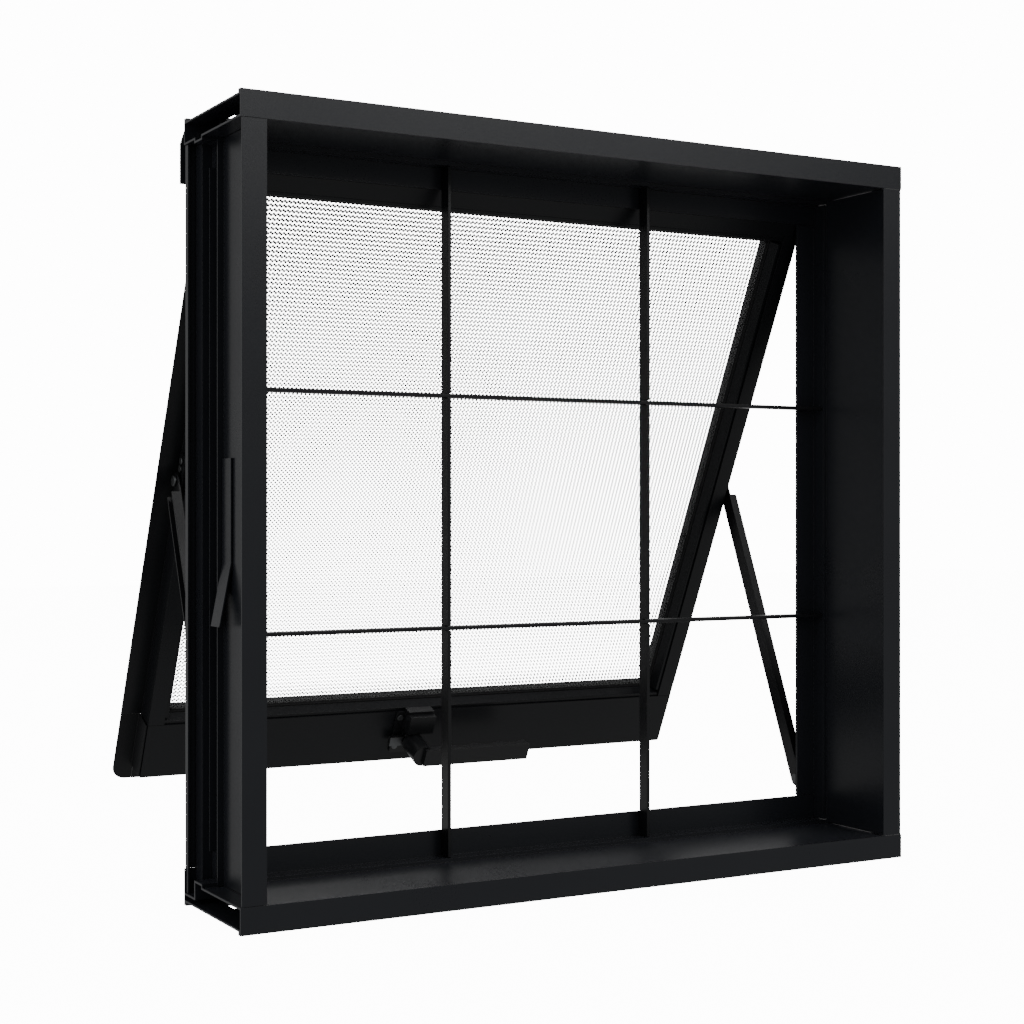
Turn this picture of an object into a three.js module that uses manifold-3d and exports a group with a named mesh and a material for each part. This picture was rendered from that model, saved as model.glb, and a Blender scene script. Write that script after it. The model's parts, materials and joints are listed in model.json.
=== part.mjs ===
// A top-hung projecting window with an inside security grille. A deep channel frame holds flat grille
// bars and a glazed sash. The sash turns on two nylon shoes at its top, two stay arms carry it, and a
// lever latch on its bottom rail locks it over the sill. X runs right, Y outwards and Z up. The pieces
// are drawn with Y 0 on the frame's inside face and Z 0 under the sill's feet, and the whole window is
// then moved so that the origin is in the middle of the sill's bottom plate. The sash stands open at TILT.
import * as THREE from "three";
import { mergeVertices } from "three/addons/utils/BufferGeometryUtils.js";
import Module from "manifold-3d";

const wasm = await Module();
wasm.setup();

// ---- Driving dimensions: millimetres and degrees ----
const WIDTH = 608;
const HEIGHT = 600;
const DEPTH = 120;
const GAP = 0.3; // between pieces that touch
const WALL = 1.5; // frame walls
const FACE = 20; // height of the head's and the sill's front flange
const RETURN_LIP = 6; // lip at the outer rear edge of a jamb
const FOOT = { width: 5, height: 2.5 }; // head and sill stand off the wall on feet along both edges
const JAMB_SETBACK = 1; // jambs stand in from the ends of head and sill
const JAMB_FACE = 19; // width of a jamb's front flange
const JAMB_RECESS = 17; // from the jamb's outer edge to the inner face of its web
const STEP_RUN = 15; // the webs step inwards this far before the stop
const SILL_STEP = 2.7;
const JAMB_STEP = 2.5;
const STOP_INSET = 25; // from the rear face to the stop's inside face
const STOP_THICK = 2;
const UPSTAND = 23.5; // the sill's stop, above the sill
const DOWNSTAND = 20; // the head's stop, below the head
const FIN_REACH = 21; // the jambs' stop, inwards of the web
const TROUGH_Z = 8;
const REAR_LIP_TOP = 28;
const HOOD_REACH = 10;
const HOOD_TOP = 8; // below the head's top
const HOOD_FALL = 9;
const HOOD_BOTTOM = 48;
const POCKET = { inset: 10, width: 13, depth: 7, wall: 1.2, slot: 8 }; // shoe channel in each jamb
const OUTER_RIB = { height: 5, insets: [42, 25] };
const SCREW_PORT = { y: 17, half: 2.8, wall: 1.2, reach: 6.5 };
const FRAME_SCREW = { shank: 1.9, head: 3.4, headThick: 2, length: 26 };
const END_HOLE = { x: 24, radius: 2, y: 103, slotY: 80, slotHalf: 9 }; // x is from the end
const DRAIN = { x: 150, half: 12, height: 4 };
const TAB = { y: 59, width: 18, bottom: 215, bend: 262, top: 340, thick: 1.5, flare: 9 };
const BAR = { thick: 3, depth: 12, inset: 1 }; // grille bars, and how far they stand off the stop
const THIRD = 3; // the grille divides the clear opening in three each way
const SEAL = { width: 4, inset: 1, thick: 1.9, topDrop: 12, sillDrop: 7 };
const SEAL_SPACE = 2.5; // between stop and closed sash
const SASH_THICK = 23;
const SASH_LAP = 6; // the sash covers the fins by this much
const SASH_TOP_SPACE = 3; // under the head
const SASH_BOTTOM_SPACE = 3.7; // above the rear lip
const SASH_WALL = 1.4;
const STILE_FACE = 14.3;
const RAIL_FACE = 52.3;
const SIDE_FLANGE = 18;
const SIDE_FLANGE_TOP = 24; // the side flanges stop this far below the head
const BOTTOM_FLANGE = 13.5;
const GLAZING_LIP = 8.7;
const CAP_RADIUS = 12;
const GLASS = { thick: 4, back: 9, margin: 2.2 }; // back: from its inside face to the sash's outside face
const GASKET = { width: 5, inner: 2.4, outer: 2.9 };
const BEAD = { width: 5.8, sight: 3, front: 1.5 };
const CLEAT = { leg: 46, thick: 4.5 };
const TILT = 25.3;
const TOP_PIVOT_DROP = 10; // the closed sash's pivots, below the head
const TOP_SHOE_TRAVEL = 11; // how far the top shoes have come down at TILT
const SHOE = { width: 11, half: 3, topHalf: 9, bottomHalf: 7.5, clear: 0.5 };
const TOP_PIN = { radius: 3, into: 9, washer: 6.5, washerThick: 1.5 };
const STAY_DROP = 259; // from the sash's pivots down to the stay arms' pivots
const STAY_SET_OUT = 1.7; // the stay arms' upper pivots, outwards of the shoe channel
const STAY_FOOT_Z = 19.5; // lower pivots, sash closed
const STAY = { width: 13, depth: 8, web: 1.5, flange: 1.2, offset: 3.6, endLength: 12, hole: 2.7 };
const BRACKET = { width: 14, up: 23, down: 8, thick: 1.5, screwUp: [11, 18] };
const RIVET = { radius: 2.4, head: 4.6, headThick: 2 };
const STAY_PIN = { radius: 2, head: 4.4, headThick: 1.1, into: 8 };
const STEM_RADIUS = 2.8;
const LATCH_X = -17; // latch spindle, from the middle of the sash
const LATCH_Z = 25.3; // latch spindle, above the sash's bottom edge
const LATCH_PLATE = { thick: 1.8, left: 17, right: 3, down: 16, up: 27.5, radius: 2.5 };
const LATCH_BLOCK = { left: 9, right: 17, bottom: 11, top: 29, stepTop: 31.5, reach: 14, stepReach: 8 };
const LATCH_BOSS = { radius: 9, thick: 2 };
const LATCH_SCREW = { radius: 1.5, head: 3, headThick: 1.3, left: 13.1, z: [-8.5, 22], length: 1.8 };
const SPINDLE_RADIUS = 3;
const TONGUE = { thick: 4.2, hub: 8, reach: 22, half: 4.5 };
const HUB = { radius: 10, length: 26 };
const LEVER = { reach: 109.3, height: 16.4, proud: 41, neck: 7, thick: 9.5, slant: 3, waves: 3, valley: 3.5 };
const LEVER_NECK_LENGTH = 26;
const ROUND = 20; // sides of a round solid

// ---- Places worked out from the dimensions ----
const halfWidth = WIDTH / 2;
const jambOut = halfWidth - JAMB_SETBACK;
const webIn = jambOut - JAMB_RECESS;
const stepIn = webIn - JAMB_STEP;
const sillTop = FACE;
const headUnder = HEIGHT - FACE;
const stopY = DEPTH - STOP_INSET;
const stopBack = stopY + STOP_THICK;
const stepY = stopY - STEP_RUN;
const finIn = webIn - FIN_REACH;
const channelY = DEPTH - POCKET.inset;
const pocketX = webIn + WALL;
const sashY = stopBack + SEAL_SPACE;
const sashBack = sashY + SASH_THICK;
const sashHalf = finIn + SASH_LAP;
const sashTop = headUnder - SASH_TOP_SPACE;
const sashBottom = REAR_LIP_TOP + SASH_BOTTOM_SPACE;
const stileIn = sashHalf - STILE_FACE;
const topRailUnder = sashTop - STILE_FACE;
const railTop = sashBottom + RAIL_FACE;
const pivotZ = headUnder - TOP_PIVOT_DROP;
const openPivotZ = pivotZ - TOP_SHOE_TRAVEL;
const tilt = THREE.MathUtils.degToRad(TILT);
const stayY = channelY + STAY_SET_OUT;
const stayZ = pivotZ - STAY_DROP;
const stayLength = stayZ - STAY_FOOT_Z;
const stayRun = STAY_SET_OUT * Math.cos(tilt) + STAY_DROP * Math.sin(tilt);
const openStayZ = openPivotZ + STAY_SET_OUT * Math.sin(tilt) - STAY_DROP * Math.cos(tilt);
const stayTurn = -Math.asin(stayRun / stayLength);
const footZ = openStayZ - stayLength * Math.cos(stayTurn);
const latchZ = sashBottom + LATCH_Z;
const latchScrewX = LATCH_X - LATCH_SCREW.left;

// ---- Solids ----
const AXES = {
  x: new THREE.Vector3(1, 0, 0),
  y: new THREE.Vector3(0, 1, 0),
  z: new THREE.Vector3(0, 0, 1),
};
const BASES = {
  x: new THREE.Matrix4().makeBasis(AXES.y, AXES.z, AXES.x), // outlines are (y, z)
  y: new THREE.Matrix4().makeBasis(AXES.z, AXES.x, AXES.y), // outlines are (z, x)
  z: new THREE.Matrix4(), // outlines are (x, y)
};

function toSolid(geometry) {
  const bare = geometry.clone();
  bare.deleteAttribute("normal");
  bare.deleteAttribute("uv");
  const merged = mergeVertices(bare, 1e-4);
  const mesh = new wasm.Mesh({
    numProp: 3,
    vertProperties: new Float32Array(merged.attributes.position.array),
    triVerts: new Uint32Array(merged.index.array),
  });
  return new wasm.Manifold(mesh);
}

function fromSolid(solid) {
  const mesh = solid.getMesh();
  const geometry = new THREE.BufferGeometry();
  geometry.setAttribute("position", new THREE.BufferAttribute(mesh.vertProperties, 3));
  geometry.setIndex(new THREE.BufferAttribute(mesh.triVerts, 1));
  geometry.computeVertexNormals();
  return geometry;
}

function join(...pieces) {
  return fromSolid(pieces.map(toSolid).reduce((sum, next) => sum.add(next)));
}

function cut(body, ...tools) {
  return fromSolid(tools.map(toSolid).reduce((rest, tool) => rest.subtract(tool), toSolid(body)));
}

function keep(body, region) {
  return fromSolid(toSolid(body).intersect(toSolid(region)));
}

// An outline pushed along an axis, from one place to another.
function prism(axis, shape, from, to) {
  const points = Array.isArray(shape) ? shape.map(([a, b]) => new THREE.Vector2(a, b)) : null;
  const outline = points ? new THREE.Shape(points) : shape;
  const geometry = new THREE.ExtrudeGeometry(outline, {
    depth: to - from,
    bevelEnabled: false,
    curveSegments: 6,
  });
  geometry.translate(0, 0, from);
  return geometry.applyMatrix4(BASES[axis]);
}

function block([x0, x1], [y0, y1], [z0, z1]) {
  const geometry = new THREE.BoxGeometry(x1 - x0, y1 - y0, z1 - z0);
  return geometry.translate((x0 + x1) / 2, (y0 + y1) / 2, (z0 + z1) / 2);
}

// Rectangular walls of one extrusion, joined: each is [low, high, low, high] across the axis.
function extrusion(axis, walls, from, to) {
  const bars = walls.map(([a0, a1, b0, b1]) => {
    const outline = [[a0, b0], [a1, b0], [a1, b1], [a0, b1]];
    return prism(axis, outline, from, to);
  });
  return join(...bars);
}

// A round bar: centre is the pair of coordinates across the axis, as in prism.
function rod(axis, radius, from, to, centre) {
  const disc = new THREE.Shape();
  for (let i = 0; i < ROUND; i++) {
    const turn = (2 * Math.PI * i) / ROUND;
    const point = [centre[0] + radius * Math.cos(turn), centre[1] + radius * Math.sin(turn)];
    if (i === 0) disc.moveTo(...point);
    else disc.lineTo(...point);
  }
  return prism(axis, disc, from, to);
}

// A piece for the right-hand side as it is, or turned over for the left.
function sided(geometry, side) {
  if (side > 0) return geometry;
  const flipped = geometry.index ? geometry.clone() : mergeVertices(geometry);
  flipped.scale(-1, 1, 1);
  const index = flipped.index.array;
  for (let i = 0; i < index.length; i += 3) [index[i + 1], index[i + 2]] = [index[i + 2], index[i + 1]];
  return flipped;
}

// ---- Materials and the scene graph ----
const MATERIALS = {
  paint: { color: 0x1b1d20, roughness: 0.42, metalness: 0.25 },
  barPaint: { color: 0x1e2023, roughness: 0.38, metalness: 0.25 },
  nylon: { color: 0x151617, roughness: 0.6, metalness: 0 },
  castPaint: { color: 0x17191b, roughness: 0.35, metalness: 0.3 },
  rubber: { color: 0x101011, roughness: 0.85, metalness: 0 },
  steel: { color: 0x8a8d90, roughness: 0.35, metalness: 0.9 },
  glass: { color: 0xe9eef0, roughness: 0.25, metalness: 0, transparent: true, opacity: 0.55 },
};
const SIDES = { left: -1, right: 1 };
const root = new THREE.Group();
const unit = new THREE.Group();
unit.position.set(0, -DEPTH / 2, -FOOT.height);
root.add(unit);
const openSash = new THREE.Group();
openSash.position.set(0, channelY, openPivotZ);
openSash.rotation.x = tilt;
unit.add(openSash);
const sash = new THREE.Group(); // its pieces are drawn closed
sash.position.set(0, -channelY, -pivotZ);
openSash.add(sash);

function add(parent, name, material, geometry) {
  const mesh = new THREE.Mesh(geometry, new THREE.MeshStandardMaterial(MATERIALS[material]));
  mesh.name = name;
  parent.add(mesh);
  return mesh;
}

// ---- Frame ----
// Round hole and slot for wall fixings in the outer plate, and screw holes in the web, at both ends.
function endHoles(plateZ, webZ) {
  const reach = WALL;
  const r = END_HOLE.radius;
  const slot = [END_HOLE.slotY - END_HOLE.slotHalf, END_HOLE.slotY + END_HOLE.slotHalf];
  return Object.values(SIDES).flatMap((side) => {
    const x = side * (halfWidth - END_HOLE.x);
    return [
      rod("z", r, plateZ - reach, plateZ + reach, [x, END_HOLE.y]),
      block([x - r, x + r], slot, [plateZ - reach, plateZ + reach]),
      rod("z", FRAME_SCREW.shank + GAP, webZ - reach, webZ + reach, [side * portX(), SCREW_PORT.y]),
    ];
  });
}

// The stops end at the jambs: these blocks take off what stands outside them.
function stopEnds(low, high) {
  return Object.values(SIDES).map((side) => {
    const x = [side * (pocketX + GAP), side * (halfWidth + 1)].sort((a, b) => a - b);
    return block(x, [stopY - GAP, stopBack], [low, high]);
  });
}

function portX() {
  return pocketX + SCREW_PORT.reach / 2;
}

function makeSill() {
  const stepTop = sillTop + SILL_STEP;
  const walls = [
    [0, WALL, 0, sillTop],
    [0, stepY + WALL, sillTop - WALL, sillTop],
    [stepY, stepY + WALL, sillTop - WALL, stepTop],
    [stepY, stopBack, stepTop - WALL, stepTop],
    [stopY, stopBack, TROUGH_Z, sillTop + UPSTAND],
    [stopY, DEPTH, TROUGH_Z, TROUGH_Z + WALL],
    [DEPTH - WALL, DEPTH, 0, REAR_LIP_TOP],
    [0, DEPTH, FOOT.height, FOOT.height + WALL],
    [0, FOOT.width, 0, FOOT.height + WALL],
    [DEPTH - FOOT.width, DEPTH, 0, FOOT.height + WALL],
  ];
  const drainZ = [TROUGH_Z + WALL, TROUGH_Z + WALL + DRAIN.height];
  const drains = Object.values(SIDES).map((side) => {
    const x = side * DRAIN.x;
    return block([x - DRAIN.half, x + DRAIN.half], [DEPTH - 2 * WALL, DEPTH + WALL], drainZ);
  });
  const body = extrusion("x", walls, -halfWidth, halfWidth);
  const ends = stopEnds(stepTop, sillTop + UPSTAND + 1);
  return cut(body, ...drains, ...ends, ...endHoles(FOOT.height + WALL / 2, sillTop - WALL / 2));
}

function makeHead() {
  const stepUnder = headUnder - SILL_STEP;
  const hoodY = DEPTH + HOOD_REACH;
  const slopeTop = HEIGHT - HOOD_TOP;
  const slopeEnd = slopeTop - HOOD_FALL;
  const plateTop = HEIGHT - FOOT.height;
  const walls = [
    [0, WALL, headUnder, HEIGHT],
    [0, DEPTH, plateTop - WALL, plateTop],
    [0, FOOT.width, plateTop - WALL, HEIGHT],
    [DEPTH - FOOT.width, DEPTH, plateTop - WALL, HEIGHT],
    [0, stepY + WALL, headUnder, headUnder + WALL],
    [stepY, stepY + WALL, stepUnder, headUnder + WALL],
    [stepY, stopBack, stepUnder, stepUnder + WALL],
    [stopY, stopBack, headUnder - DOWNSTAND, headUnder + WALL],
    [stopY, DEPTH, headUnder, headUnder + WALL],
    [DEPTH - WALL, DEPTH, headUnder, HEIGHT],
    [hoodY - WALL, hoodY, HEIGHT - HOOD_BOTTOM, slopeEnd],
  ];
  const slope = [
    [DEPTH - WALL / 2, slopeTop],
    [hoodY, slopeEnd],
    [hoodY, slopeEnd - WALL],
    [hoodY - WALL, slopeEnd - WALL],
    [DEPTH - WALL / 2, slopeTop - 1.5 * WALL],
  ];
  const body = join(
    extrusion("x", walls, -halfWidth, halfWidth),
    prism("x", slope, -halfWidth, halfWidth),
  );
  const ends = stopEnds(headUnder - DOWNSTAND - 1, stepUnder);
  return cut(body, ...ends, ...endHoles(plateTop - WALL / 2, headUnder + WALL / 2));
}

// The jambs are cut at both ends to the section of the sill and the head.
function jambEnds() {
  const before = stopY - GAP;
  const behind = stopBack + GAP;
  return [
    [-WALL, sillTop + GAP],
    [stepY - GAP, sillTop + GAP],
    [stepY - GAP, sillTop + SILL_STEP + GAP],
    [before, sillTop + SILL_STEP + GAP],
    [before, sillTop + UPSTAND + GAP],
    [behind, sillTop + UPSTAND + GAP],
    [behind, TROUGH_Z + WALL + GAP],
    [DEPTH - WALL - GAP, TROUGH_Z + WALL + GAP],
    [DEPTH - WALL - GAP, REAR_LIP_TOP + GAP],
    [DEPTH + WALL, REAR_LIP_TOP + GAP],
    [DEPTH + WALL, headUnder - GAP],
    [behind, headUnder - GAP],
    [behind, headUnder - DOWNSTAND - GAP],
    [before, headUnder - DOWNSTAND - GAP],
    [before, headUnder - SILL_STEP - GAP],
    [stepY - GAP, headUnder - SILL_STEP - GAP],
    [stepY - GAP, headUnder - GAP],
    [-WALL, headUnder - GAP],
  ];
}

function makeJamb() {
  const webOut = webIn + WALL;
  const pocketBack = pocketX + POCKET.depth;
  const pocketLow = channelY - POCKET.width / 2;
  const pocketHigh = channelY + POCKET.width / 2;
  const portLow = SCREW_PORT.y - SCREW_PORT.half;
  const portHigh = SCREW_PORT.y + SCREW_PORT.half;
  const ribOut = webOut + OUTER_RIB.height;
  const ribs = OUTER_RIB.insets.map((inset) => [webIn, ribOut, DEPTH - inset, DEPTH - inset + WALL]);
  const walls = [
    [jambOut - JAMB_FACE, jambOut, 0, WALL],
    [webIn, webOut, 0, stepY + WALL],
    [stepIn, webOut, stepY, stepY + WALL],
    [stepIn, stepIn + WALL, stepY, stopBack],
    [finIn, webOut, stopY, stopBack],
    [webIn, webOut, stopY, channelY - POCKET.slot / 2],
    [webIn, webOut, channelY + POCKET.slot / 2, DEPTH],
    [webIn, pocketBack + POCKET.wall, pocketLow - POCKET.wall, pocketLow],
    [webIn, pocketBack + POCKET.wall, pocketHigh, pocketHigh + POCKET.wall],
    [pocketBack, pocketBack + POCKET.wall, pocketLow - POCKET.wall, pocketHigh + POCKET.wall],
    ...ribs,
    [webIn, webOut + SCREW_PORT.reach, portLow - SCREW_PORT.wall, portLow],
    [webIn, webOut + SCREW_PORT.reach, portHigh, portHigh + SCREW_PORT.wall],
    [webIn, jambOut, DEPTH - WALL, DEPTH],
    [jambOut - WALL, jambOut, DEPTH - RETURN_LIP, DEPTH],
  ];
  const reach = jambOut + WALL;
  return keep(extrusion("z", walls, 0, HEIGHT), prism("x", jambEnds(), 0, reach));
}

// A bent strip in the outer recess that is built into the wall.
function makeAnchorTab() {
  const x = webIn + WALL + GAP;
  const outline = [
    [TAB.top, x],
    [TAB.top, x + TAB.thick],
    [TAB.bend, x + TAB.thick],
    [TAB.bottom, x + TAB.thick + TAB.flare],
    [TAB.bottom, x + TAB.flare],
    [TAB.bend, x],
  ];
  return prism("y", outline, TAB.y, TAB.y + TAB.width);
}

// A self-tapping screw through the head or the sill, into the jamb's screw port.
function makeFrameScrew(web, inward) {
  const head = [web, web - inward * FRAME_SCREW.headThick].sort((a, b) => a - b);
  const shank = [web - inward * WALL, web + inward * FRAME_SCREW.length].sort((a, b) => a - b);
  const centre = [portX(), SCREW_PORT.y];
  return join(rod("z", FRAME_SCREW.head, ...head, centre), rod("z", FRAME_SCREW.shank, ...shank, centre));
}

add(unit, "head", "paint", makeHead());
add(unit, "sill", "paint", makeSill());
for (const [name, side] of Object.entries(SIDES)) {
  add(unit, `jamb_${name}`, "paint", sided(makeJamb(), side));
  add(unit, `anchor_tab_${name}`, "paint", sided(makeAnchorTab(), side));
  const upper = makeFrameScrew(headUnder + WALL + GAP, -1);
  const lower = makeFrameScrew(sillTop - WALL - GAP, 1);
  add(unit, `frame_screw_upper_${name}`, "steel", sided(upper, side));
  add(unit, `frame_screw_lower_${name}`, "steel", sided(lower, side));
}

// ---- Grille: flat bars on edge, halved into each other ----
const barY = [stopY - BAR.inset - BAR.depth, stopY - BAR.inset];
const lapY = stopY - BAR.inset - BAR.depth / 2;
const barX = (2 * webIn) / THIRD / 2;
const barZ = [1, 2].map((i) => sillTop + (i * (headUnder - sillTop)) / THIRD);
const halfBar = BAR.thick / 2;

function spanAt(centre, margin) {
  return [centre - halfBar - margin, centre + halfBar + margin];
}

for (const [name, side] of Object.entries(SIDES)) {
  const ends = [sillTop + SILL_STEP + GAP, headUnder - SILL_STEP - GAP];
  const bar = block(spanAt(side * barX, 0), barY, ends);
  const laps = barZ.map((z) => block(spanAt(side * barX, 1), [barY[0] - 1, lapY + GAP / 2], spanAt(z, GAP)));
  add(unit, `grille_vertical_${name}`, "barPaint", cut(bar, ...laps));
}
["lower", "upper"].forEach((name, i) => {
  const bar = block([GAP - stepIn, stepIn - GAP], barY, spanAt(barZ[i], 0));
  const laps = [-barX, barX].map((x) =>
    block(spanAt(x, GAP), [lapY - GAP / 2, barY[1] + 1], spanAt(barZ[i], 1)),
  );
  add(unit, `grille_horizontal_${name}`, "barPaint", cut(bar, ...laps));
});

// ---- Seals on the stops ----
const sealY = [stopBack + GAP, stopBack + GAP + SEAL.thick];
for (const [name, side] of Object.entries(SIDES)) {
  const x = [finIn + SEAL.inset, finIn + SEAL.inset + SEAL.width];
  const top = headUnder - DOWNSTAND - SEAL.topDrop;
  const strip = block(x, sealY, [sillTop + UPSTAND + GAP, top]);
  add(unit, `stop_seal_${name}`, "rubber", sided(strip, side));
}
const sillSealTop = sillTop + UPSTAND - SEAL.sillDrop;
const sillSealEnd = finIn - GAP;
const sillSeal = block([-sillSealEnd, sillSealEnd], sealY, [sillSealTop - SEAL.width, sillSealTop]);
add(unit, "stop_seal_sill", "rubber", sillSeal);

// ---- Sash frame ----
const lipY = sashBack - SASH_WALL;
const flangeOut = sashHalf + SIDE_FLANGE;
const flangeTop = headUnder - SIDE_FLANGE_TOP;

// Walls of a hollow sash member, as [low, high] across its face, with the glazing lip on one side.
function tubeWalls(low, high, lipLow, lipHigh) {
  return [
    [low, high, sashY, sashY + SASH_WALL],
    [low, low + SASH_WALL, sashY, sashBack],
    [high - SASH_WALL, high, sashY, sashBack],
    [lipLow, lipHigh, lipY, sashBack],
  ];
}

const turned = (walls) => walls.map(([a0, a1, b0, b1]) => [b0, b1, a0, a1]);

// Region of a mitred end: below the diagonal of the top right corner for a stile, above it for the rail.
function makeStile() {
  const walls = tubeWalls(stileIn, sashHalf, stileIn - GLAZING_LIP, sashHalf);
  const tube = extrusion("z", walls, railTop + GAP, sashTop);
  const flange = block([sashHalf - SASH_WALL, flangeOut], [lipY, sashBack], [railTop + GAP, flangeTop]);
  const reach = STILE_FACE + GLAZING_LIP + SASH_WALL;
  const beyond = [
    [sashTop + reach, sashHalf + reach - GAP],
    [sashTop - reach, sashHalf - reach - GAP],
    [sashTop + reach, sashHalf - reach - GAP],
  ];
  const corner = prism("y", beyond, sashY - 1, sashBack + 1);
  const pivotX = [sashHalf - 2 * SASH_WALL, sashHalf + 1];
  const pivotHole = rod("x", TOP_PIN.radius + GAP, ...pivotX, [channelY, pivotZ]);
  return cut(join(tube, flange), corner, pivotHole);
}

function makeTopRail() {
  const walls = turned(tubeWalls(topRailUnder, sashTop, topRailUnder - GLAZING_LIP, sashTop));
  const depth = STILE_FACE + GLAZING_LIP + 1;
  const outline = [
    [sashTop + 1, sashHalf + 1 - GAP],
    [sashTop + 1, GAP - sashHalf - 1],
    [sashTop - depth, GAP - sashHalf + depth],
    [sashTop - depth, sashHalf - depth - GAP],
  ];
  const tube = extrusion("x", walls, -sashHalf, sashHalf);
  return keep(tube, prism("y", outline, sashY - 1, sashBack + 1));
}

function makeBottomRail() {
  const walls = tubeWalls(sashBottom, railTop, sashBottom - BOTTOM_FLANGE, railTop);
  const tube = extrusion("x", turned(walls), -sashHalf, sashHalf);
  const lip = block([-stileIn + GAP, stileIn - GAP], [lipY, sashBack], [railTop - 1, railTop + GLAZING_LIP]);
  const cleared = GLAZING_LIP + GAP;
  const lipEnds = Object.values(SIDES).map((side) => {
    const x = [side * (stileIn - cleared), side * (stileIn + cleared)].sort((a, b) => a - b);
    return block(x, [lipY - 1, sashBack + 1], [railTop, railTop + GLAZING_LIP + 1]);
  });
  return cut(join(tube, lip), ...lipEnds);
}

// Moulded cap on the bottom corner: a plate on the rail's end, and the corner of the flange.
function makeCornerCap() {
  const inside = sashHalf + GAP;
  const bottom = sashBottom - BOTTOM_FLANGE;
  const corner = new THREE.Shape();
  corner.moveTo(bottom, inside);
  corner.lineTo(railTop, inside);
  corner.lineTo(railTop, flangeOut);
  corner.lineTo(bottom + CAP_RADIUS, flangeOut);
  corner.absarc(bottom + CAP_RADIUS, flangeOut - CAP_RADIUS, CAP_RADIUS, Math.PI / 2, Math.PI, false);
  const plate = block([inside, inside + SASH_WALL], [sashY + 1, sashBack], [sashBottom, railTop]);
  return join(prism("y", corner, lipY, sashBack), plate);
}

function makeCleat() {
  const out = sashHalf - SASH_WALL - GAP;
  const high = sashTop - SASH_WALL - GAP;
  const width = STILE_FACE - 2 * (SASH_WALL + GAP);
  const y = sashY + SASH_WALL + GAP;
  const outline = [
    [high, out],
    [high, out - CLEAT.leg],
    [high - width, out - CLEAT.leg],
    [high - width, out - width],
    [high - CLEAT.leg, out - width],
    [high - CLEAT.leg, out],
  ];
  return prism("y", outline, y, y + CLEAT.thick);
}

add(sash, "sash_top_rail", "paint", makeTopRail());
add(sash, "sash_bottom_rail", "paint", makeBottomRail());
for (const [name, side] of Object.entries(SIDES)) {
  add(sash, `sash_stile_${name}`, "paint", sided(makeStile(), side));
  add(sash, `sash_corner_cap_${name}`, "nylon", sided(makeCornerCap(), side));
  add(sash, `sash_corner_cleat_${name}`, "steel", sided(makeCleat(), side));
}

// ---- Glass, gaskets and beads ----
const glassY = sashBack - GLASS.back;
const glassHalf = stileIn - GLASS.margin;
const glassZ = [railTop + GLASS.margin, topRailUnder - GLASS.margin];

function ring(y0, y1) {
  const outer = block([-glassHalf, glassHalf], [y0, y1], glassZ);
  const hole = glassHalf - GASKET.width;
  const inner = block([-hole, hole], [y0 - 1, y1 + 1], [glassZ[0] + GASKET.width, glassZ[1] - GASKET.width]);
  return cut(outer, inner);
}

// Section of a bead: along the sash face, then through the sash. It is narrower at its front.
function beadOutline(edge, inward) {
  const front = sashY + BEAD.front;
  const back = glassY - GASKET.inner - 2 * GAP;
  return [
    [edge, front],
    [edge + inward * BEAD.sight, front],
    [edge + inward * BEAD.width, back],
    [edge, back],
  ];
}

add(sash, "glass_pane", "glass", block([-glassHalf, glassHalf], [glassY, glassY + GLASS.thick], glassZ));
const innerGasketBack = glassY - GAP;
const outerGasketFront = glassY + GLASS.thick + GAP;
add(sash, "glazing_gasket_inner", "rubber", ring(innerGasketBack - GASKET.inner, innerGasketBack));
add(sash, "glazing_gasket_outer", "rubber", ring(outerGasketFront, outerGasketFront + GASKET.outer));
const beadEnd = stileIn - GAP;
const flat = (outline) => outline.map(([a, y]) => [y, a]);
const bottomBead = prism("x", flat(beadOutline(railTop + GAP, 1)), -beadEnd, beadEnd);
const topBead = prism("x", flat(beadOutline(topRailUnder - GAP, -1)), -beadEnd, beadEnd);
add(sash, "glazing_bead_bottom", "paint", bottomBead);
add(sash, "glazing_bead_top", "paint", topBead);
const sideBeadZ = [railTop + 2 * GAP + BEAD.width, topRailUnder - 2 * GAP - BEAD.width];
for (const [name, side] of Object.entries(SIDES)) {
  const bead = prism("z", beadOutline(stileIn - GAP, -1), ...sideBeadZ);
  add(sash, `glazing_bead_${name}`, "paint", sided(bead, side));
}

// ---- Top pivots: shoes in the jamb channels, with pins into the stiles ----
const shoeX = pocketX + SHOE.clear;
const shoeBack = shoeX + 2 * SHOE.half;
const shoeY = [channelY - SHOE.width / 2, channelY + SHOE.width / 2];
for (const [name, side] of Object.entries(SIDES)) {
  const body = block([shoeX, shoeBack], shoeY, [openPivotZ - SHOE.topHalf, openPivotZ + SHOE.topHalf]);
  const pin = rod("x", TOP_PIN.radius, sashHalf - TOP_PIN.into, shoeX + 1, [channelY, openPivotZ]);
  add(unit, `top_shoe_${name}`, "nylon", sided(join(body, pin), side));
  const washerX = [sashHalf + GAP, sashHalf + GAP + TOP_PIN.washerThick];
  const disc = rod("x", TOP_PIN.washer, ...washerX, [channelY, pivotZ]);
  const hole = rod("x", TOP_PIN.radius + GAP, washerX[0] - 1, washerX[1] + 1, [channelY, pivotZ]);
  add(sash, `pivot_washer_${name}`, "nylon", sided(cut(disc, hole), side));
}

// ---- Stay arms ----
const stayX = sashHalf + STAY.offset;
const stayBack = stayX + STAY.depth;
const bracketX = sashHalf + GAP;
const bracketFace = bracketX + BRACKET.thick;

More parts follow.
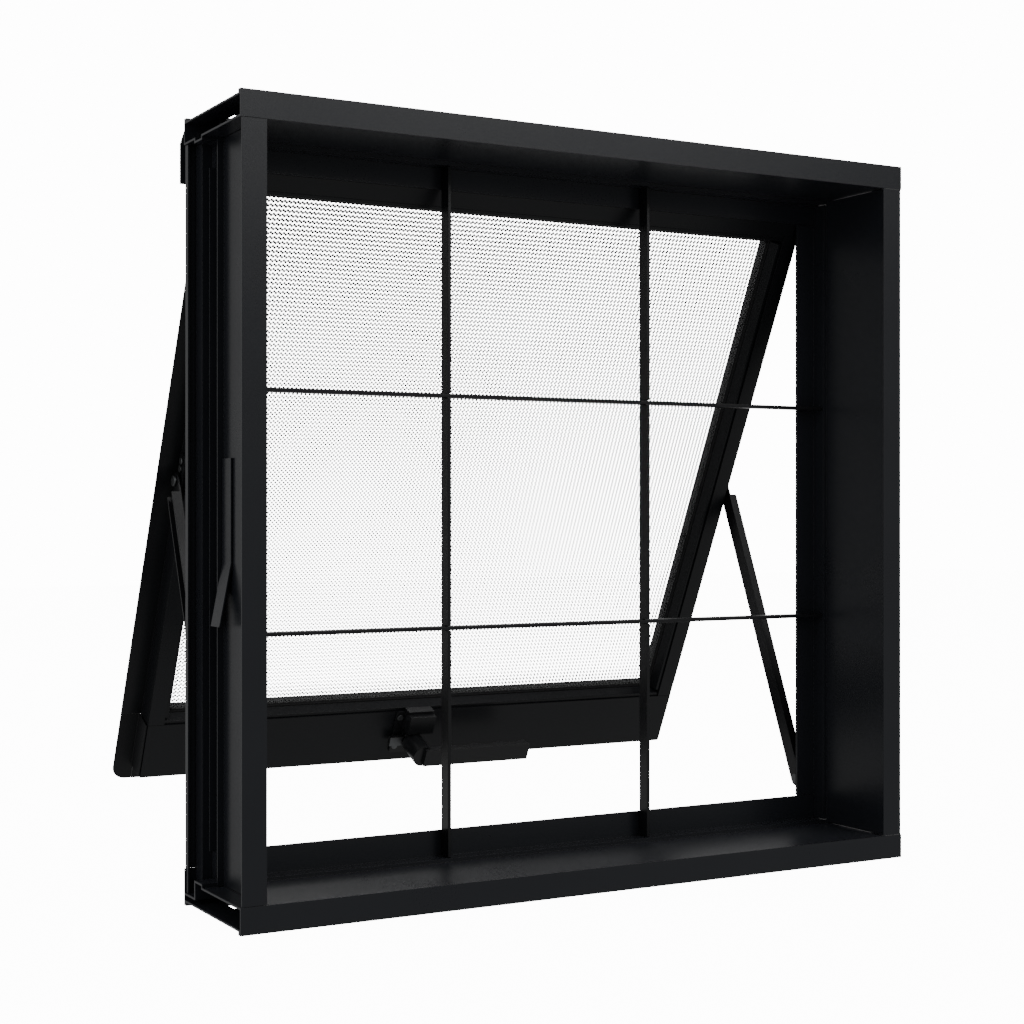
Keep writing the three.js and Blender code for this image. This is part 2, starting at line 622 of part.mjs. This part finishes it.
// The arm hangs from the origin; its web's ends stand out of the flanges and are round.
function makeStayArm() {
  const half = STAY.width / 2;
  const web = new THREE.Shape();
  web.absarc(0, 0, half, 0, Math.PI, false);
  web.absarc(0, -stayLength, half, Math.PI, 2 * Math.PI, false);
  const flangeZ = [STAY.endLength - stayLength, -STAY.endLength];
  const flanges = [-1, 1].map((edge) => {
    const y = [edge * half, edge * (half - STAY.flange)].sort((a, b) => a - b);
    return block([stayX, stayBack], y, flangeZ);
  });
  const holes = [0, -stayLength].map((z) => rod("x", STAY.hole, stayX - 1, stayX + STAY.web + 1, [0, z]));
  return cut(join(prism("x", web, stayX, stayX + STAY.web), ...flanges), ...holes);
}

function makeBracket() {
  const y = [stayY - BRACKET.width / 2, Math.min(stayY + BRACKET.width / 2, lipY - GAP)];
  const plate = block([bracketX, bracketFace], y, [stayZ - BRACKET.down, stayZ + BRACKET.up]);
  const through = [bracketX - 1, bracketFace + 1];
  const radius = LATCH_SCREW.radius + GAP;
  const holes = BRACKET.screwUp.map((up) => rod("x", radius, ...through, [stayY, stayZ + up]));
  return cut(plate, rod("x", RIVET.radius + GAP, ...through, [stayY, stayZ]), ...holes);
}

function makeRivet() {
  const headX = stayX + STAY.web + GAP;
  const shank = rod("x", RIVET.radius, bracketX + GAP, headX + 1, [stayY, stayZ]);
  return join(shank, rod("x", RIVET.head, headX, headX + RIVET.headThick, [stayY, stayZ]));
}

// A pan-head screw whose head rests on a face: the shank runs back from it along the axis.
function makeSmallScrew(axis, face, outward, centre) {
  const head = [face, face + outward * LATCH_SCREW.headThick].sort((a, b) => a - b);
  const shank = [face + outward, face - outward * LATCH_SCREW.length].sort((a, b) => a - b);
  return join(rod(axis, LATCH_SCREW.head, ...head, centre), rod(axis, LATCH_SCREW.radius, ...shank, centre));
}

function makeStayShoe() {
  const z = [footZ - SHOE.bottomHalf, footZ + SHOE.bottomHalf];
  const stemFrom = stayX + STAY.web + GAP;
  const body = join(
    block([shoeX, shoeBack], shoeY, z),
    rod("x", STEM_RADIUS, stemFrom, shoeX + 1, [channelY, footZ]),
  );
  const bore = [stemFrom - 1, stemFrom + STAY_PIN.into];
  return cut(body, rod("x", STAY_PIN.radius + GAP, ...bore, [channelY, footZ]));
}

function makeStayPin() {
  const headX = [stayX - GAP - STAY_PIN.headThick, stayX - GAP];
  const end = stayX + STAY.web + STAY_PIN.into;
  return join(
    rod("x", STAY_PIN.head, ...headX, [channelY, footZ]),
    rod("x", STAY_PIN.radius, headX[0] + 1, end - GAP, [channelY, footZ]),
  );
}

for (const [name, side] of Object.entries(SIDES)) {
  const arm = add(unit, `stay_arm_${name}`, "paint", sided(makeStayArm(), side));
  arm.position.set(0, channelY + stayRun, openStayZ);
  arm.rotation.x = stayTurn;
  add(unit, `stay_shoe_${name}`, "nylon", sided(makeStayShoe(), side));
  add(unit, `stay_pin_${name}`, "steel", sided(makeStayPin(), side));
  add(sash, `stay_bracket_${name}`, "paint", sided(makeBracket(), side));
  add(sash, `stay_rivet_${name}`, "steel", sided(makeRivet(), side));
  BRACKET.screwUp.forEach((up, i) => {
    const screw = makeSmallScrew("x", bracketFace + GAP, 1, [stayY, stayZ + up]);
    add(sash, `bracket_screw_${name}_${i + 1}`, "steel", sided(screw, side));
  });
}

// ---- Lever latch on the bottom rail ----
const plateFace = sashY - GAP - LATCH_PLATE.thick;
const tongueBack = stopY - GAP - GAP / 2;
const tongueFront = tongueBack - TONGUE.thick;
const hubBack = tongueFront - 2;
const leverFront = sashY - LEVER.proud;

// Everything that turns in the latch is round the spindle, whose centre is (z, x).
const spindle = [latchZ, LATCH_X];

function makeLatchBase() {
  const r = LATCH_PLATE.radius;
  const [z0, z1] = [latchZ - LATCH_PLATE.down, latchZ + LATCH_PLATE.up];
  const [x0, x1] = [LATCH_X - LATCH_PLATE.left, LATCH_X + LATCH_PLATE.right];
  const outline = new THREE.Shape();
  outline.absarc(z1 - r, x1 - r, r, 0, Math.PI / 2, false);
  outline.absarc(z0 + r, x1 - r, r, Math.PI / 2, Math.PI, false);
  outline.absarc(z0 + r, x0 + r, r, Math.PI, 1.5 * Math.PI, false);
  outline.absarc(z1 - r, x0 + r, r, 1.5 * Math.PI, 2 * Math.PI, false);
  const blockX = [LATCH_X - LATCH_BLOCK.left, LATCH_X + LATCH_BLOCK.right];
  const blockZ = [latchZ + LATCH_BLOCK.bottom, latchZ + LATCH_BLOCK.top];
  const stepZ = [latchZ + LATCH_BLOCK.bottom, latchZ + LATCH_BLOCK.stepTop];
  const back = plateFace + 1;
  const body = join(
    prism("y", outline, plateFace, sashY - GAP),
    block(blockX, [plateFace - LATCH_BLOCK.reach, back], blockZ),
    block(blockX, [plateFace - LATCH_BLOCK.stepReach, back], stepZ),
    rod("y", LATCH_BOSS.radius, plateFace - LATCH_BOSS.thick, back, spindle),
  );
  const holes = LATCH_SCREW.z.map((z) =>
    rod("y", LATCH_SCREW.radius + GAP, plateFace - 1, sashY + 1, [latchZ + z, latchScrewX]),
  );
  const bore = [plateFace - LATCH_BOSS.thick - 1, sashY + 1];
  return cut(body, rod("y", SPINDLE_RADIUS + GAP, ...bore, spindle), ...holes);
}

// Locking tongue: at rest it points away from the lever, and locked it points down before the upstand.
function makeTongue() {
  const x = [LATCH_X - TONGUE.reach, LATCH_X];
  const body = join(
    rod("y", TONGUE.hub, tongueFront, tongueBack, spindle),
    block(x, [tongueFront, tongueBack], [latchZ - TONGUE.half, latchZ + TONGUE.half]),
  );
  return cut(body, rod("y", SPINDLE_RADIUS + GAP, tongueFront - 1, tongueBack + 1, spindle));
}

// Lever: flat on the room side, three finger waves on the back, and a slanted end.
function makeLever() {
  const end = LATCH_X + LEVER.reach;
  const crest = leverFront + LEVER.thick;
  const neck = leverFront + LEVER.neck;
  const waveStart = LATCH_X + LEVER_NECK_LENGTH;
  const waveLength = (end - LEVER.slant - waveStart) / LEVER.waves;
  const outline = new THREE.Shape();
  outline.moveTo(LATCH_X, leverFront);
  outline.lineTo(end, leverFront);
  outline.lineTo(end - LEVER.slant, crest);
  for (let i = LEVER.waves; i > 0; i--) {
    const from = waveStart + i * waveLength;
    outline.quadraticCurveTo(from - waveLength / 2, crest - 2 * LEVER.valley, from - waveLength, crest);
  }
  outline.lineTo(waveStart - LEVER.slant, neck);
  outline.lineTo(LATCH_X, neck);
  const half = LEVER.height / 2;
  const bar = prism("z", outline, latchZ - half, latchZ + half);
  const hub = rod("y", HUB.radius, hubBack - HUB.length, hubBack, spindle);
  const socket = rod("y", SPINDLE_RADIUS + GAP, hubBack - HUB.length / 2, hubBack + 1, spindle);
  return cut(join(bar, hub), socket);
}

add(sash, "latch_base", "castPaint", makeLatchBase());
add(sash, "latch_tongue", "steel", makeTongue());
add(sash, "latch_lever", "castPaint", makeLever());
const spindleEnd = hubBack - HUB.length / 2 + GAP;
add(sash, "latch_spindle", "steel", rod("y", SPINDLE_RADIUS, spindleEnd, sashY - 2 * GAP, spindle));
["lower", "upper"].forEach((name, i) => {
  const centre = [latchZ + LATCH_SCREW.z[i], latchScrewX];
  add(sash, `latch_screw_${name}`, "steel", makeSmallScrew("y", plateFace - GAP, -1, centre));
});

export default root;
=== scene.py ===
import json
import math

import bmesh
import bpy
from mathutils import Matrix, Vector

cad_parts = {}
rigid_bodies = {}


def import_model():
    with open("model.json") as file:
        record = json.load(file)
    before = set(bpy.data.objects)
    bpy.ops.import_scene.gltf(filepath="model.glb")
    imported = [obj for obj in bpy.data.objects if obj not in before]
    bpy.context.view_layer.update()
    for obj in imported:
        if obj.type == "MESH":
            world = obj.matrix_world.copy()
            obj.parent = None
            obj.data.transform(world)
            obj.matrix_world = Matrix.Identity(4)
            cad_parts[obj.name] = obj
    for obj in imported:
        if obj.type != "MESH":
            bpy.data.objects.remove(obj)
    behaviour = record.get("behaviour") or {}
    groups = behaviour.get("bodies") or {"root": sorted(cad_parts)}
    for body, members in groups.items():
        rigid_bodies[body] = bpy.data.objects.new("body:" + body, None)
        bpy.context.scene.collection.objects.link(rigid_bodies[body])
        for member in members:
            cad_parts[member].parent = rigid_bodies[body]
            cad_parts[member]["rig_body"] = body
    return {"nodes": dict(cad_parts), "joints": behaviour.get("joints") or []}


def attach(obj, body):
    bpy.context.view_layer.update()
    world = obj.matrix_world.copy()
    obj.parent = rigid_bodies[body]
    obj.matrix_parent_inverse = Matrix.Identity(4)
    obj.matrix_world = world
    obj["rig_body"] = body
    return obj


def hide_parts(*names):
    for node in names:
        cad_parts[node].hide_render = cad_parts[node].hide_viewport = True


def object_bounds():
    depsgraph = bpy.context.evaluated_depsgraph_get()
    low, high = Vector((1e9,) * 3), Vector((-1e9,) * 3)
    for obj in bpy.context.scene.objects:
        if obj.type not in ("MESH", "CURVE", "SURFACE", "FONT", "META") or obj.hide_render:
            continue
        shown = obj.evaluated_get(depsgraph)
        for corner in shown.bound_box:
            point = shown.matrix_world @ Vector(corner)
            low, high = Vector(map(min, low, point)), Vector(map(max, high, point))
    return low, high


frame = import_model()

cad_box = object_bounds()
nodes = frame["nodes"]
SIDES = ("left", "right")

# ---- Frame: head, sill and jambs ----
# Four aluminium extrusions with 1.5 mm walls, sawn to length, screwed together at the corners and
# powder coated satin black. Every edge of an extrusion has a small radius from the die.


class Value:
    """A number that varies over a surface. An expression on it adds Math nodes."""

    def __init__(self, finish, socket):
        self.finish = finish
        self.socket = socket

    def math(self, operation, first, second=None):
        values = {0: first} if second is None else {0: first, 1: second}
        return self.finish.node("ShaderNodeMath", {"operation": operation}, values)

    def __add__(self, other):
        return self.math("ADD", self, other)

    def __sub__(self, other):
        return self.math("SUBTRACT", self, other)

    def __rsub__(self, other):
        return self.math("SUBTRACT", other, self)

    def __mul__(self, other):
        return self.math("MULTIPLY", self, other)

    def __truediv__(self, other):
        return self.math("DIVIDE", self, other)

    __radd__ = __add__
    __rmul__ = __mul__


class Finish:
    """One material. node() adds a node of any type, and surface() sets the shader's own sockets."""

    def __init__(self, name):
        self.material = bpy.data.materials.new(name)
        self.material.use_nodes = True
        self.tree = self.material.node_tree
        self.shader = self.tree.nodes["Principled BSDF"]
        self.place = self.node("ShaderNodeTexCoord", output="Object")

    def connect(self, socket, value):
        if isinstance(value, Value):
            self.tree.links.new(value.socket, socket)
        else:
            socket.default_value = value

    def node(self, kind, settings=None, values=None, output=0):
        made = self.tree.nodes.new(kind)
        settings = dict(settings or {})
        stops = settings.pop("stops", ())
        for key, value in settings.items():
            setattr(made, key, value)
        for i, (position, colour) in enumerate(stops):
            elements = made.color_ramp.elements
            stop = elements[i] if i < len(elements) else elements.new(position)
            stop.position = position
            stop.color = colour
        for key, value in (values or {}).items():
            self.connect(made.inputs[key], value)
        return Value(self, made.outputs[output])

    def surface(self, values):
        for key, value in values.items():
            self.connect(self.shader.inputs[key], value)
        return self.material

    def noise(self, scale, detail=2.0, place=None):
        values = {"Vector": place or self.place, "Scale": scale, "Detail": detail}
        return self.node("ShaderNodeTexNoise", None, values)

    def between(self, mask, low, high):
        """A colour from low to high as the mask goes from 0 to 1."""
        return self.node("ShaderNodeValToRGB", {"stops": ((0.0, low), (1.0, high))}, {0: mask})

    def relief(self, height, distance, strength=1.0):
        values = {"Height": height, "Distance": distance, "Strength": strength}
        return self.node("ShaderNodeBump", None, values)


def powder_coat(name, colour, roughness, specular):
    """Satin powder coat: fine orange peel, patches of painted light on the top faces, and slightly
    uneven gloss.
    """
    finish = Finish(name)
    cloud = finish.noise(scale=9.0, detail=3.0)
    grit = finish.noise(scale=420.0, detail=3.0)
    peel = finish.noise(scale=1500.0, detail=1.0)
    facing = finish.node("ShaderNodeNewGeometry", output="Normal")
    up = finish.node("ShaderNodeSeparateXYZ", None, {0: facing}, "Z")
    # Painted light from above: faces that point up are painted paler, in patches.
    painted_top_light = up.math("MAXIMUM", up, 0.0) * cloud * grit
    pale = tuple(min(1.0, 2.6 * c + 0.012) for c in colour)
    tone = finish.between(painted_top_light + cloud * 0.12, (*colour, 1.0), (*pale, 1.0))
    return finish.surface(
        {
            "Base Color": tone,
            "Roughness": roughness + (cloud - 0.5) * 0.12 + (grit - 0.5) * 0.08,
            "Specular IOR Level": specular,
            "Normal": finish.relief(peel * 0.7 + grit * 0.3, distance=0.00006, strength=0.5),
        }
    )


def softened(name, material, radius, steps=2):
    """The CAD node again with its edges rounded, in place of the node."""
    node = nodes[name]
    shape = bmesh.new()
    shape.from_mesh(node.data)
    bmesh.ops.remove_doubles(shape, verts=shape.verts, dist=1e-6)
    flat = math.radians(0.5)
    bmesh.ops.dissolve_limit(shape, angle_limit=flat, verts=shape.verts, edges=shape.edges)
    bmesh.ops.recalc_face_normals(shape, faces=shape.faces)
    corners = [v.co.copy() for v in shape.verts]
    faces = [[v.index for v in f.verts] for f in shape.faces]
    shape.free()
    mesh = bpy.data.meshes.new(name + "_rounded")
    mesh.from_pydata(corners, [], faces)
    mesh.materials.append(material)
    piece = bpy.data.objects.new(name + "_rounded", mesh)
    bpy.context.scene.collection.objects.link(piece)
    bevel = piece.modifiers.new("edges", "BEVEL")
    bevel.width = radius
    bevel.segments = steps
    bevel.limit_method = "ANGLE"
    bevel.angle_limit = math.radians(28)
    bevel.miter_outer = "MITER_ARC"
    piece.modifiers.new("flats", "WEIGHTED_NORMAL")
    mesh.shade_smooth()
    made_plain(piece)
    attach(piece, node["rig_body"])
    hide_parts(name)
    return piece


def made_plain(piece):
    """Turns the modifiers' result into the piece's own mesh."""
    graph = bpy.context.evaluated_depsgraph_get()
    mesh = bpy.data.meshes.new_from_object(piece.evaluated_get(graph))
    piece.modifiers.clear()
    piece.data = mesh


# The frame's coat is the same satin black as the sash's, with its colour painted about twice as pale:
# painted light on the frame.
lit_frame_paint = powder_coat("frame_powder_coat", (0.0098, 0.0108, 0.0138), roughness=0.30, specular=0.28)
for name in ("head", "sill", "jamb_left", "jamb_right"):
    softened(name, lit_frame_paint, radius=0.0004)

# ---- Corner screws ----
# Zinc-plated self-tapping screws that hold head and sill to the jambs, driven into ports in the
# jamb extrusions.


def bright_steel(name, colour, roughness):
    """Zinc-plated steel: a cloudy plating over fine drawing marks."""
    finish = Finish(name)
    cloud = finish.noise(scale=260.0, detail=3.0)
    marks = finish.noise(scale=2600.0, detail=1.0)
    worn = tuple(0.55 * c for c in colour)
    return finish.surface(
        {
            "Base Color": finish.between(cloud, (*worn, 1.0), (*colour, 1.0)),
            "Metallic": 1.0,
            "Roughness": roughness + (cloud - 0.5) * 0.25,
            "Normal": finish.relief(marks, distance=0.00002, strength=0.4),
        }
    )


zinc = bright_steel("zinc_plate", (0.34, 0.35, 0.36), roughness=0.38)
for side in SIDES:
    for place in ("upper", "lower"):
        softened(f"frame_screw_{place}_{side}", zinc, radius=0.0002)

# ---- Anchor tabs ----
# Strips of the same coated sheet in the jambs' outer recess. Their lower ends are bent out, so that
# the wall's mortar holds them.
# The tabs take the frame's paler coat, with its painted light.
for side in SIDES:
    softened(f"anchor_tab_{side}", lit_frame_paint, radius=0.00025)

# ---- Grille ----
# Flat steel bars on edge, halved into each other where they cross, painted with the frame. The narrow
# front edge is slightly worn, so it shines more than the flat sides.
bar_paint = powder_coat("grille_paint", (0.0050, 0.0053, 0.0064), roughness=0.30, specular=0.30)
for place in ("vertical_left", "vertical_right", "horizontal_lower", "horizontal_upper"):
    softened(f"grille_{place}", bar_paint, radius=0.0004)

# ---- Seals on the stops ----
# Extruded black rubber strips behind the fins and the sill's upstand, which the closed sash presses.


def black_rubber(name):
    """Extruded rubber: matt, with a slight bloom."""
    finish = Finish(name)
    clean = (0.006, 0.006, 0.0065, 1.0)
    bloomed = (0.016, 0.016, 0.017, 1.0)
    bloom = finish.noise(scale=120.0, detail=4.0)
    fine = finish.noise(scale=2200.0, detail=1.0)
    return finish.surface(
        {
            "Base Color": finish.between(bloom, clean, bloomed),
            "Roughness": 0.72 + bloom * 0.18,
            "Specular IOR Level": 0.3,
            "Normal": finish.relief(fine, distance=0.00005, strength=0.4),
        }
    )


rubber = black_rubber("seal_rubber")
for place in ("left", "right", "sill"):
    softened(f"stop_seal_{place}", rubber, radius=0.0005, steps=3)

# ---- Sash frame ----
# Hollow aluminium stiles and rails: mitred at the top, butted on a deep rail at the bottom, with
# moulded nylon caps on the bottom corners and steel cleats hidden in the mitres. The sash stands open,
# so what is drawn upright is turned by the open angle.


def black_nylon(name):
    """Moulded nylon with a fine spark-eroded grain."""
    finish = Finish(name)
    dark = (0.0048, 0.005, 0.0058, 1.0)
    light = (0.009, 0.0092, 0.0102, 1.0)
    grain = finish.noise(scale=1700.0, detail=2.0)
    cloud = finish.noise(scale=40.0, detail=2.0)
    return finish.surface(
        {
            "Base Color": finish.between(cloud, dark, light),
            "Roughness": 0.5 + grain * 0.15,
            "Specular IOR Level": 0.28,
            "Normal": finish.relief(grain, distance=0.00008, strength=0.5),
        }
    )


sash_joint = next(j for j in frame["joints"] if j["name"] == "sash_tilt")
open_angle = -math.radians(sash_joint["range_deg"][0])


def closed_box(name):
    """Two corners of a node of the open sash, turned back about X until the sash is upright."""
    back = Matrix.Rotation(-open_angle, 3, "X")
    corners = [back @ v.co for v in nodes[name].data.vertices]
    return [[pick(c[i] for c in corners) for i in range(3)] for pick in (min, max)]


class Growth:
    """A Geometry Nodes tree with named inputs. made() runs it once and gives the piece's mesh."""

    def __init__(self, name, material):
        self.name = name
        self.tree = bpy.data.node_groups.new(name, "GeometryNodeTree")
        self.tree.interface.new_socket("Geometry", in_out="OUTPUT", socket_type="NodeSocketGeometry")
        self.given = self.tree.nodes.new("NodeGroupInput")
        self.values = {}
        self.material = self.input("Material", "NodeSocketMaterial", material)

    def input(self, name, kind, value):
        item = self.tree.interface.new_socket(name, in_out="INPUT", socket_type=kind)
        self.values[item.identifier] = value
        return next(s for s in self.given.outputs if s.identifier == item.identifier)

    def node(self, kind, values=None):
        made = self.tree.nodes.new(kind)
        for key, value in (values or {}).items():
            if isinstance(value, bpy.types.NodeSocket):
                self.tree.links.new(value, made.inputs[key])
            else:
                made.inputs[key].default_value = value
        return made.outputs[0]

    def made(self, geometry, body, slot):
        whole = self.node("GeometryNodeRealizeInstances", {0: geometry})
        whole = self.node("GeometryNodeSetMaterial", {"Geometry": whole, "Material": self.material})
        end = self.tree.nodes.new("NodeGroupOutput")
        self.tree.links.new(whole, end.inputs[0])
        piece = bpy.data.objects.new(self.name, bpy.data.meshes.new(self.name))
        bpy.context.scene.collection.objects.link(piece)
        modifier = piece.modifiers.new("growth", "NODES")
        modifier.node_group = self.tree
        for identifier, value in self.values.items():
            modifier[identifier] = value
        made_plain(piece)
        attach(piece, body)
        return piece


sash_paint = powder_coat("sash_powder_coat", (0.0050, 0.0054, 0.0066), roughness=0.34, specular=0.26)
nylon = black_nylon("moulded_nylon")
for name in ("sash_top_rail", "sash_bottom_rail", "sash_stile_left", "sash_stile_right"):
    softened(name, sash_paint, radius=0.0003)
for side in SIDES:
    softened(f"sash_corner_cap_{side}", nylon, radius=0.0004)
    softened(f"sash_corner_cleat_{side}", zinc, radius=0.0004)

# ---- Glass ----
# One pane of cast glass, 4 mm thick, with a square grid of small dark dots standing up on it. The dots
# shrink down the pane and stay full along its edges: a painted reflection of the dark frame, which
# darkens the pane near the top and the edges.
DOT_PITCH = 0.00375
DOT_RADIUS = 0.31  # of the pitch
LEAST_DOT = 0.72  # smallest dots, of DOT_RADIUS
DOT_GROWTH = 0.33  # from the smallest dots to the full ones
DOT_BLUR = 0.25
EDGE_BAND = 0.028  # width of the full dots along the edges


def dotted_glass(name):
    """Clear glass, nearly see-through between the dots and opaque on them."""
    finish = Finish(name)
    low, high = closed_box("glass_pane")
    turned = {"Vector": finish.place, "Rotation": (-open_angle, 0.0, 0.0)}
    pane = finish.node("ShaderNodeMapping", {"vector_type": "POINT"}, turned)
    cell = []
    rim = []
    for axis, i in (("X", 0), ("Z", 2)):
        along = finish.node("ShaderNodeSeparateXYZ", None, {0: pane}, axis)
        pitches = along / DOT_PITCH
        from_middle = pitches.math("FRACT", pitches) - 0.5
        cell.append(from_middle * from_middle)
        half = (high[i] - low[i]) / 2
        offset = along - (high[i] + low[i]) / 2
        distance = offset.math("ABSOLUTE", offset)
        band = {"Value": distance, "From Min": half - EDGE_BAND, "From Max": half}
        rim.append(finish.node("ShaderNodeMapRange", None, band))
    # Painted reflection of the dark frame: the dots are full at the top and within EDGE_BAND of the
    # edges, and smaller lower down.
    fade = {"Value": along, "From Min": low[2], "From Max": high[2], "To Min": 0.0, "To Max": 1.0}
    frame_reflection = finish.node("ShaderNodeMapRange", None, fade)
    frame_reflection = frame_reflection.math("MAXIMUM", frame_reflection, rim[0].math("MAXIMUM", *rim))
    squared = cell[0] + cell[1]
    radius = DOT_RADIUS * (LEAST_DOT + frame_reflection * DOT_GROWTH)
    out = squared.math("SQRT", squared) / radius
    ramp = {"interpolation_type": "SMOOTHSTEP"}
    fall = {"Value": out, "From Min": 1 + DOT_BLUR, "From Max": 1 - DOT_BLUR}
    dot = finish.node("ShaderNodeMapRange", ramp, fall)
    return finish.surface(
        {
            "Base Color": finish.between(dot, (0.9, 0.91, 0.92, 1.0), (0.006, 0.0065, 0.007, 1.0)),
            "Roughness": 0.22 + dot * 0.2,
            "Alpha": 0.05 + dot * 0.95,
            "Specular IOR Level": 0.35,
            "Normal": finish.relief(dot, distance=0.0003, strength=0.5),
        }
    )


softened("glass_pane", dotted_glass("cast_glass"), radius=0.0004)

# ---- Gaskets and beads ----
# The pane sits between two rubber gaskets, and is held from the inside by snap-in aluminium beads.
for place in ("inner", "outer"):
    softened(f"glazing_gasket_{place}", rubber, radius=0.0005)
for place in ("bottom", "top", "left", "right"):
    softened(f"glazing_bead_{place}", sash_paint, radius=0.0004)

# ---- Lip of the inner gasket ----
# A rounded rubber lip that runs round the pane just inside the beads, in one piece.
LIP_RADIUS = 0.0009
LIP_INSET = 0.0050  # from the pane's edge
low, high = closed_box("glass_pane")
growth = Growth("gasket_lip", rubber)
wide = growth.input("Width", "NodeSocketFloat", high[0] - low[0] - 2 * LIP_INSET)
tall = growth.input("Height", "NodeSocketFloat", high[2] - low[2] - 2 * LIP_INSET)
thick = growth.input("Radius", "NodeSocketFloat", LIP_RADIUS)
corner = growth.input("Corner", "NodeSocketFloat", 3 * LIP_RADIUS)
upright = growth.input("Upright", "NodeSocketRotation", (math.pi / 2, 0.0, 0.0))
place = growth.input("Place", "NodeSocketVector", (0.0, low[1], (low[2] + high[2]) / 2))
turn = growth.input("Turn", "NodeSocketRotation", (open_angle, 0.0, 0.0))
path = growth.node("GeometryNodeCurvePrimitiveQuadrilateral", {"Width": wide, "Height": tall})
path = growth.node("GeometryNodeFilletCurve", {"Curve": path, "Radius": corner})
profile = growth.node("GeometryNodeCurvePrimitiveCircle", {"Resolution": 10, "Radius": thick})
lip = growth.node("GeometryNodeCurveToMesh", {"Curve": path, "Profile Curve": profile})
lip = growth.node("GeometryNodeTransform", {"Geometry": lip, "Rotation": upright, "Translation": place})
lip = growth.node("GeometryNodeTransform", {"Geometry": lip, "Rotation": turn})
growth.made(lip, nodes["glass_pane"]["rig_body"], "rubber")

# ---- Top pivots ----
# Nylon shoes that slide in the jamb channels and carry the sash's top corners on their pins.
for side in SIDES:
    softened(f"top_shoe_{side}", nylon, radius=0.0005)
    softened(f"pivot_washer_{side}", nylon, radius=0.0002)

# ---- Stay arms ----
# Arms pressed from steel strip into a channel, riveted to a bracket on the stile. Their feet turn on
# steel pins in nylon shoes, which run in the same jamb channels.
stay_paint = powder_coat("stay_paint", (0.0050, 0.0053, 0.0064), roughness=0.32, specular=0.30)
rivet_steel = bright_steel("rivet_steel", (0.16, 0.165, 0.17), roughness=0.42)
for side in SIDES:
    softened(f"stay_arm_{side}", stay_paint, radius=0.0003)
    softened(f"stay_bracket_{side}", stay_paint, radius=0.0003)
    softened(f"stay_shoe_{side}", nylon, radius=0.0005)
    softened(f"stay_pin_{side}", rivet_steel, radius=0.0004)
    softened(f"stay_rivet_{side}", rivet_steel, radius=0.0006, steps=3)
    for i in (1, 2):
        softened(f"bracket_screw_{side}_{i}", rivet_steel, radius=0.0005, steps=3)

# ---- Latch ----
# A die-cast lever on a steel spindle, in a stepped base screwed to the bottom rail. Turned up, it
# brings the tongue down before the sill's upstand.
latch_paint = powder_coat("latch_paint", (0.0060, 0.0063, 0.0072), roughness=0.30, specular=0.34)
softened("latch_base", latch_paint, radius=0.0007, steps=3)
softened("latch_lever", latch_paint, radius=0.0011, steps=3)
softened("latch_tongue", rivet_steel, radius=0.0005)
softened("latch_spindle", rivet_steel, radius=0.0003)
for place in ("lower", "upper"):
    softened(f"latch_screw_{place}", rivet_steel, radius=0.0005, steps=3)

# ---- Stage, light and camera ----
# A pale floor that only the camera sees, a white surround and three large soft lights.
FLOOR_HALF = 6.0
FLOOR_GAP = 0.0005  # under the lowest point of the window
FLOOR_GLOW = 13.0
AMBIENT = 0.45  # brightness of the surround on the window
BACKDROP = 14.0  # brightness of the surround behind it


def plain_stage():
    mesh = bpy.data.meshes.new("floor")
    floor_z = cad_box[0][2] - FLOOR_GAP
    square = ((-1, -1), (1, -1), (1, 1), (-1, 1))
    corners = [(FLOOR_HALF * x, FLOOR_HALF * y, floor_z) for x, y in square]
    mesh.from_pydata(corners, [], [(0, 1, 2, 3)])
    floor = bpy.data.objects.new("floor", mesh)
    bpy.context.scene.collection.objects.link(floor)
    finish = Finish("pale_floor")
    pale = {
        "Base Color": (0.86, 0.86, 0.86, 1.0),
        "Roughness": 0.9,
        "Emission Color": (1.0, 1.0, 1.0, 1.0),
        "Emission Strength": FLOOR_GLOW,
    }
    mesh.materials.append(finish.surface(pale))
    floor.visible_diffuse = False
    floor.visible_glossy = False


def soft_light(name, place, target, size, power):
    light = bpy.data.lights.new(name, "AREA")
    light.shape = "RECTANGLE"
    light.size, light.size_y = size
    light.energy = power
    lamp = bpy.data.objects.new(name, light)
    lamp.location = place
    lamp.rotation_euler = (Vector(target) - Vector(place)).to_track_quat("-Z", "Y").to_euler()
    bpy.context.scene.collection.objects.link(lamp)


plain_stage()
world = bpy.data.worlds.new("studio")
bpy.context.scene.world = world
world.use_nodes = True
backdrop = world.node_tree.nodes["Background"]
backdrop.inputs["Color"].default_value = (1.0, 1.0, 1.0, 1.0)
seen = world.node_tree.nodes.new("ShaderNodeLightPath").outputs["Is Camera Ray"]
glow = world.node_tree.nodes.new("ShaderNodeMapRange")
glow.inputs["To Min"].default_value = AMBIENT
glow.inputs["To Max"].default_value = BACKDROP
world.node_tree.links.new(seen, glow.inputs["Value"])
world.node_tree.links.new(glow.outputs["Result"], backdrop.inputs["Strength"])
middle = (0.0, 0.0, 0.3)
soft_light("key", (0.9, -2.0, 1.7), middle, size=(1.6, 1.6), power=19.0)
soft_light("fill", (-2.2, -0.6, 0.8), middle, size=(0.6, 1.8), power=9.0)
soft_light("rim", (0.4, 2.2, 1.8), middle, size=(1.6, 1.2), power=20.0)

CAMERA_PLACE = (-0.76813, -1.27839, 0.2975)
CAMERA_TURN = math.atan2(0.48951, 0.87199)
lens = bpy.data.cameras.new("camera")
lens.lens = 64.19
lens.sensor_width = 36.0
camera = bpy.data.objects.new("camera", lens)
camera.location = CAMERA_PLACE
camera.rotation_euler = (math.pi / 2, 0.0, -CAMERA_TURN)
bpy.context.scene.collection.objects.link(camera)
bpy.context.scene.camera = camera
